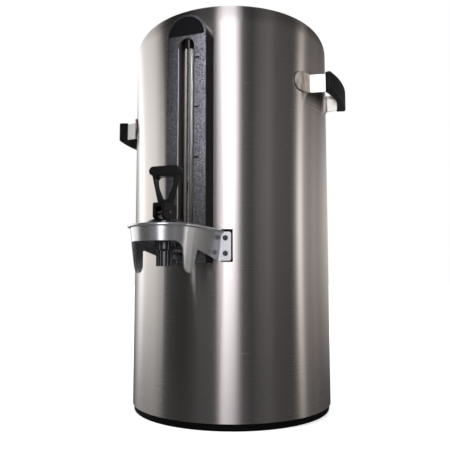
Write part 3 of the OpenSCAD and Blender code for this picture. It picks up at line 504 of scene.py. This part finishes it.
# ---- Badge plate ----
# Half-moon plate of black ABS, moulded with nothing on it and pressed into a recess in
# the round top of the housing. Its polished mould gives it a deep gloss.
gloss_abs = moulded("gloss_abs", "#08080A", 0.14, 5.0, 0.02, shine=0.8)
give(gloss_abs, "badge_plate")

# ---- Sight tube, cap and seal ----
# Clear polycarbonate tube, extruded, with a black cap pushed on its top and a rubber seal
# at its foot. It is empty here; in use the coffee stands in it as high as in the vessel.
clear, tree = new_material("polycarbonate_tube")
place = add(tree, "TexCoord")
# polycarbonate is clear and glassy, and washing has hazed it in patches some 8 mm wide
haze_mm = 8
haze = add(tree, "TexNoise", {"Vector": place.outputs["Object"], "Scale": 1000 / haze_mm,
                              "Detail": 2.0})
rough = add(tree, "MapRange", {0: haze.outputs["Fac"], 3: 0.0, 4: 0.02})
# Upright pale bands, thickest down the right side and thinner towards the foot, are a painted
# reflection on the tube: they stand in for what the wall of a real one mirrors, and are fixed
# on the tube. Each row: millimetres across the tube, and the painted reflection there.
reflection_low, reflection_high = 0.29, 0.47
glass_low, glass_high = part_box("gauge_glass")
glass_y, glass_radius = (glass_low[1] + glass_high[1]) / 2, glass_high[0]
turned = add(tree, "Mapping", {0: place.outputs["Object"], "Location": (0, -glass_y, 0)})
turned = add(tree, "Mapping", {0: turned.outputs[0], "Rotation": (0, 0, -camera_round)})
aside = add(tree, "SeparateXYZ", {0: turned.outputs[0]})
band = add(tree, "MapRange", {0: aside.outputs["X"], 1: -glass_radius, 2: glass_radius})
painted_reflection = add(tree, "ValToRGB", {0: band.outputs[0]})
fill_ramp(painted_reflection, [(-6, 0.2), (-4.9, 0.42), (-2.6, 0.42), (-2.0, 0.04), (0.3, 0.04),
                 (0.9, 0.3), (2.6, 0.45), (3.2, 1.0), (6, 1.0)], -6, 6)
rise = add(tree, "MapRange", {0: aside.outputs["Z"], 1: reflection_low, 2: reflection_high,
                              3: 0.5, 4: 1.0})
painted_reflection = add(tree, "Math", {0: painted_reflection.outputs[0], 1: rise.outputs[0]}, operation="MULTIPLY")
clearness = add(tree, "Math", {0: 1.0, 1: painted_reflection.outputs[0]}, operation="SUBTRACT")
tone = add(tree, "MixRGB", {0: painted_reflection.outputs[0], 1: linear("#7C7974"), 2: linear("#FBFAF8")})
skin = add(tree, "BsdfPrincipled", {"Base Color": tone.outputs[0],
                                    "Roughness": rough.outputs[0], "IOR": 1.58,
                                    "Transmission Weight": clearness.outputs[0],
                                    "Specular IOR Level": 0.1})
add(tree, "OutputMaterial", {0: skin.outputs[0]})
give(clear, "gauge_glass")
give(gloss_abs, "gauge_cap")
# rubber is dull, with hardly a highlight
black_rubber = moulded("black_rubber", "#050505", 0.62, 1.0, 0.08, shine=0.12)
give(black_rubber, "gauge_seal", "shank_washer")

# ---- Side handles ----
# Each bracket is a strip of 2.5 mm stainless bent to a U, welded to the body by its round
# feet and tumbled to a satin. A black nylon grip is screwed to it from inside.
skin_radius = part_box("outer_shell")[1][0]
tumbled_stainless, tree = new_material("tumbled_stainless")
place = add(tree, "TexCoord")
# Tumbling leaves the steel pale with soft, broken highlights, so that its metal share is
# below 1. Its scuffs are drawn coarser than real, so that they show.
scuff_mm, streak_mm = 2.0, 7.0
scuffs = add(tree, "TexNoise", {"Vector": place.outputs["Object"],
                                "Scale": 1000 / scuff_mm, "Detail": 4.0})
bright = add(tree, "MixRGB", {0: scuffs.outputs["Fac"], 1: linear("#F0EEEC"),
                              2: linear("#DAD8D6")})
# the weld has stained the feet brown in broad streaks, a little past the strip's thickness
streaks = add(tree, "Mapping", {0: place.outputs["Object"], "Scale": (1, 1, 0.35)})
cloud = add(tree, "TexNoise", {"Vector": streaks.outputs[0], "Scale": 1000 / streak_mm,
                               "Detail": 3.0})
streak = add(tree, "MapRange", {0: cloud.outputs["Fac"], 1: 0.35, 2: 0.65})
stain = add(tree, "MixRGB", {0: streak.outputs[0], 1: linear("#6A605A"),
                             2: linear("#968E88")})
level = add(tree, "VectorMath", {0: place.outputs["Object"], 1: (1, 1, 0)},
            operation="MULTIPLY")
out = add(tree, "VectorMath", {0: level.outputs[0]}, operation="LENGTH")
stain_depth, stain_fade = 0.0034, 0.0006
foot_edge = skin_radius + stain_depth
foot = add(tree, "MapRange", {0: out.outputs["Value"], 1: foot_edge + stain_fade,
                              2: foot_edge})
tone = add(tree, "MixRGB", {0: foot.outputs[0], 1: bright.outputs[0], 2: stain.outputs[0]})
rough = add(tree, "MapRange", {0: scuffs.outputs["Fac"], 3: 0.32, 4: 0.44})
bump = add(tree, "Bump", {"Height": scuffs.outputs["Fac"], "Strength": 0.1,
                          "Distance": 0.0002})
skin = add(tree, "BsdfPrincipled", {"Base Color": tone.outputs[0], "Metallic": 0.6,
                                    "Roughness": rough.outputs[0],
                                    "Normal": bump.outputs[0]})
add(tree, "OutputMaterial", {0: skin.outputs[0]})
give(tumbled_stainless, "bracket_right", "bracket_left")
# a bead of weld runs round each foot, laid out flat and then bent to the body; the heat left
# it dark and dull, and its dark ring is also painted shade along the edge of each foot
weld_scale_and_shade = satin_steel("weld_scale_and_shade", "#46413E", 0.5, 1.0)
foot_radius, bead_radius = 0.0138, 0.0008
foot_turn, handle_turn = math.radians(26.3), math.radians(2.5)
for side, turned in (("right", 0), ("left", math.pi)):
    low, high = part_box("bracket_" + side)
    for end, name in ((-1, "front"), (1, "back")):
        form = bmesh.new()
        bmesh.ops.create_circle(form, segments=8, radius=bead_radius,
                                matrix=Matrix.Translation((0, foot_radius, 0)))
        bmesh.ops.spin(form, geom=form.verts[:] + form.edges[:], axis=(1, 0, 0),
                       cent=(0, 0, 0), angle=2 * math.pi, steps=40, use_merge=True)
        heading = turned + end * foot_turn + (1 if turned else -1) * handle_turn
        for vert in form.verts:
            around = heading + vert.co.y / skin_radius
            reach = skin_radius + vert.co.x
            vert.co = (reach * math.cos(around), reach * math.sin(around),
                       (low[2] + high[2]) / 2 + vert.co.z)
        bead = object_from("foot_weld_%s_%s" % (side, name), form, weld_scale_and_shade)
        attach(bead, "dispenser")
# the grips are dull, and the screws have a dark satin of black oxide
give(moulded("grip_nylon", "#08080A", 0.5, 1.2, 0.04, shine=0.12), "grip_right", "grip_left")
black_screws = satin_steel("blackened_screws", "#4A4A4C", 0.4, 1.0)
give(black_screws, "grip_screws")

# ---- Tap handle and pin ----
# Stirrup of gloss black nylon that a finger or a cup pulls forward. It turns on a steel
# pin through the top of the valve stem, and its yoke rides on the bonnet as a cam.
# nylon from a polished mould shows the lamps sharply
gloss_nylon = moulded("gloss_nylon", "#08080A", 0.14, 3.0, 0.02, shine=1.0)
give(gloss_nylon, "tap_handle")
form = bmesh.new()
form.from_mesh(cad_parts["tap_handle"].data)
stirrup = object_from("tap_stirrup", form, gloss_nylon, smooth=False)
# Its finger hole is flared from the middle to both faces, which leaves the arms slender.
# Each cutter is the hull of three pairs of rounds at the middle and three at a face: for
# each pair, half the way between the two, the height and the radius. The top pair goes
# down as it widens, so that the grip bar keeps its depth.
arm_y, face_y, flare, overlap = -0.228, 0.0075, 0.0020, 0.0001
bar_depth, hole_depth = 0.0122, 0.0396
handle_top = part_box("tap_handle")[1][2]
hole_top, hole_foot = handle_top - bar_depth, handle_top - hole_depth
cutters = []
for side in (-1, 1):
    form = bmesh.new()
    for y, wider in ((arm_y - side * overlap, 0.0), (arm_y + side * face_y, flare)):
        for x, z, radius in ((0.0076, hole_top - 0.0034 - wider, 0.0034),
                             (0.0056, hole_top - 0.0115, 0.0044),
                             (0.0, hole_foot + 0.0052, 0.0052)):
            for across in (-x, x):
                spot = Matrix.Translation((across, y, z))
                bmesh.ops.create_circle(form, segments=32, radius=radius + wider,
                                        matrix=spot @ Matrix.Rotation(math.pi / 2, 4, "X"))
    bmesh.ops.remove_doubles(form, verts=form.verts, dist=1e-6)
    bmesh.ops.delete(form, geom=form.edges[:], context="EDGES_FACES")
    bmesh.ops.convex_hull(form, input=form.verts[:])
    cutter = object_from("cutter", form, gloss_nylon)
    carve = stirrup.modifiers.new("carve", "BOOLEAN")
    carve.operation, carve.object = "DIFFERENCE", cutter
    cutters.append(cutter)
carved = bpy.data.meshes.new_from_object(
    stirrup.evaluated_get(bpy.context.evaluated_depsgraph_get()))
stirrup.modifiers.clear()
stirrup.data = carved
for cutter in cutters:
    bpy.data.objects.remove(cutter)
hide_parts("tap_handle")
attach(stirrup, "tap")
# drawn through a die, the pin and stem are bright and nearly smooth
drawn_steel = satin_steel("drawn_steel", "#C9C8C6", 0.24, 1.2)
give(drawn_steel, "handle_pin", "valve_stem")

# ---- Closing spring ----
# Coil of 1.1 mm stainless wire with close-wound ends. Its foot stands on the seat cup and
# its head bears on the bonnet, so that the coil is squeezed as the stem rises.
spring_low, spring_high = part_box("valve_spring")
spring_y = (spring_low[1] + spring_high[1]) / 2
wire_radius, wire_sides, turns, turn_steps, close_wound = 0.00055, 8, 6, 24, 0.5
coil_radius = (spring_high[1] - spring_low[1]) / 2 - wire_radius
coil_height = spring_high[2] - spring_low[2] - 2 * wire_radius
form = bmesh.new()
coil_foot = Matrix.Translation((coil_radius, spring_y, spring_low[2] + wire_radius))
bmesh.ops.create_circle(form, cap_ends=True, segments=wire_sides, radius=wire_radius,
                        matrix=coil_foot @ Matrix.Rotation(math.pi / 2, 4, "X"))
wire_end, climbed = form.verts[:] + form.edges[:] + form.faces[:], 0.0
for step in range(1, turns * turn_steps + 1):
    share = step / (turns * turn_steps)
    eased = share * share * (3 - 2 * share)
    climb = coil_height * ((1 - close_wound) * share + close_wound * eased)
    wire_end = bmesh.ops.spin(form, geom=wire_end, axis=(0, 0, 1), cent=(0, spring_y, 0),
                              dvec=(0, 0, climb - climbed),
                              angle=2 * math.pi / turn_steps, steps=1)["geom_last"]
    climbed = climb
closing_spring = object_from("closing_spring", form, drawn_steel)
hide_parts("valve_spring")
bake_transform(closing_spring)

# ---- Faucet body, bonnet and shank ----
# Black polysulphone body with fluted grips on its nut and bonnet, screwed together round
# the silicone seat cup, its stem and spring.
# polysulphone moulds to a hard gloss, a little softer than the nylon's
black_polysulphone = moulded("black_polysulphone", "#1A1A1D", 0.2, 2.0, 0.03, shine=0.9)
give(black_polysulphone, "faucet_body", "shank_nut", "faucet_shank")
give(gloss_nylon, "bonnet")

# ---- Faucet guard ----
# U-shaped band of cast stainless steel, ground and satin finished, with a rolled lip. Two
# flanges screw it to the body.
ground_stainless, tree = new_material("ground_stainless")
place = add(tree, "TexCoord")
# The satin wheel blends the grinding marks, which gives long soft highlights and a metal
# share just below 1. The marks stand upright, 1.1 mm wide and five times as long, which
# is coarser than real, so that they show.
mark_mm, mark_squeeze = 1.1, 0.2
marks = add(tree, "Mapping", {0: place.outputs["Object"], "Scale": (1, 1, mark_squeeze)})
grain = add(tree, "TexNoise", {"Vector": marks.outputs[0], "Scale": 1000 / mark_mm,
                               "Detail": 3.0})
tone = add(tree, "MixRGB", {0: grain.outputs["Fac"], 1: linear("#E9EAED"),
                            2: linear("#DADBDE")})
# the flanges, behind the band, keep the duller face that they were ground flat with
flange_front = -0.1462
guard_depth = add(tree, "SeparateXYZ", {0: place.outputs["Object"]})
flange_face = add(tree, "Math", {0: guard_depth.outputs["Y"], 1: flange_front},
                  operation="GREATER_THAN")
rough = add(tree, "MapRange", {0: flange_face.outputs[0], 3: 0.24, 4: 0.5})
tone = add(tree, "MixRGB", {0: flange_face.outputs[0], 1: tone.outputs[0],
                            2: linear("#E6E7EA")})
bump = add(tree, "Bump", {"Height": grain.outputs["Fac"], "Strength": 0.03,
                          "Distance": 0.0002})
skin = add(tree, "BsdfPrincipled", {"Base Color": tone.outputs[0], "Metallic": 0.94,
                                    "Roughness": rough.outputs[0],
                                    "Normal": bump.outputs[0]})
add(tree, "OutputMaterial", {0: skin.outputs[0]})
give(ground_stainless, "faucet_guard")
give(black_screws, "guard_screws")

# ---- Flange shade strips ----
# A thin strip in the black rubber finish under each flange of the guard, cut a little larger
# than the flange, so that its edge shows as a dark line round the steel: a dark strip put in
# as painted shade for the gap round each flange.
shade_strip_margin, shade_strip_proud, shade_strip_sunk = 0.0016, 0.0008, 0.0002
flange_inner, flange_outer, flange_foot = 0.0382, 0.051, 0.2165
guard_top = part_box("faucet_guard")[1][2]
shade_strip_low, shade_strip_high = flange_foot - shade_strip_margin, guard_top + shade_strip_margin
for side, name in ((1, "right"), (-1, "left")):
    start = math.asin(flange_inner / skin_radius)
    sweep = math.asin((flange_outer + shade_strip_margin) / skin_radius) - start
    form = bmesh.new()
    section = [form.verts.new((side * radius * math.sin(start),
                               -radius * math.cos(start), z))
               for radius, z in ((skin_radius - shade_strip_sunk, shade_strip_low),
                                 (skin_radius + shade_strip_proud, shade_strip_low),
                                 (skin_radius + shade_strip_proud, shade_strip_high),
                                 (skin_radius - shade_strip_sunk, shade_strip_high))]
    face = form.faces.new(section)
    bmesh.ops.spin(form, geom=[face] + face.edges[:] + section, axis=(0, 0, 1),
                   cent=(0, 0, 0), angle=side * sweep, steps=12, use_duplicate=False)
    shade_strip = object_from("flange_shade_strip_" + name, form, black_rubber, smooth=False)
    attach(shade_strip, "dispenser")

# ---- Base ring and bottom pan ----
# Black rubber ring that the body stands on, pressed round a pan of plain stainless sheet
# that closes the jacket.
give(black_rubber, "base_ring")
# as rolled at the mill, the sheet is grey and dull
give(satin_steel("mill_stainless", "#B9B7B4", 0.4, 4.0), "bottom_pan")

low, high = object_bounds()
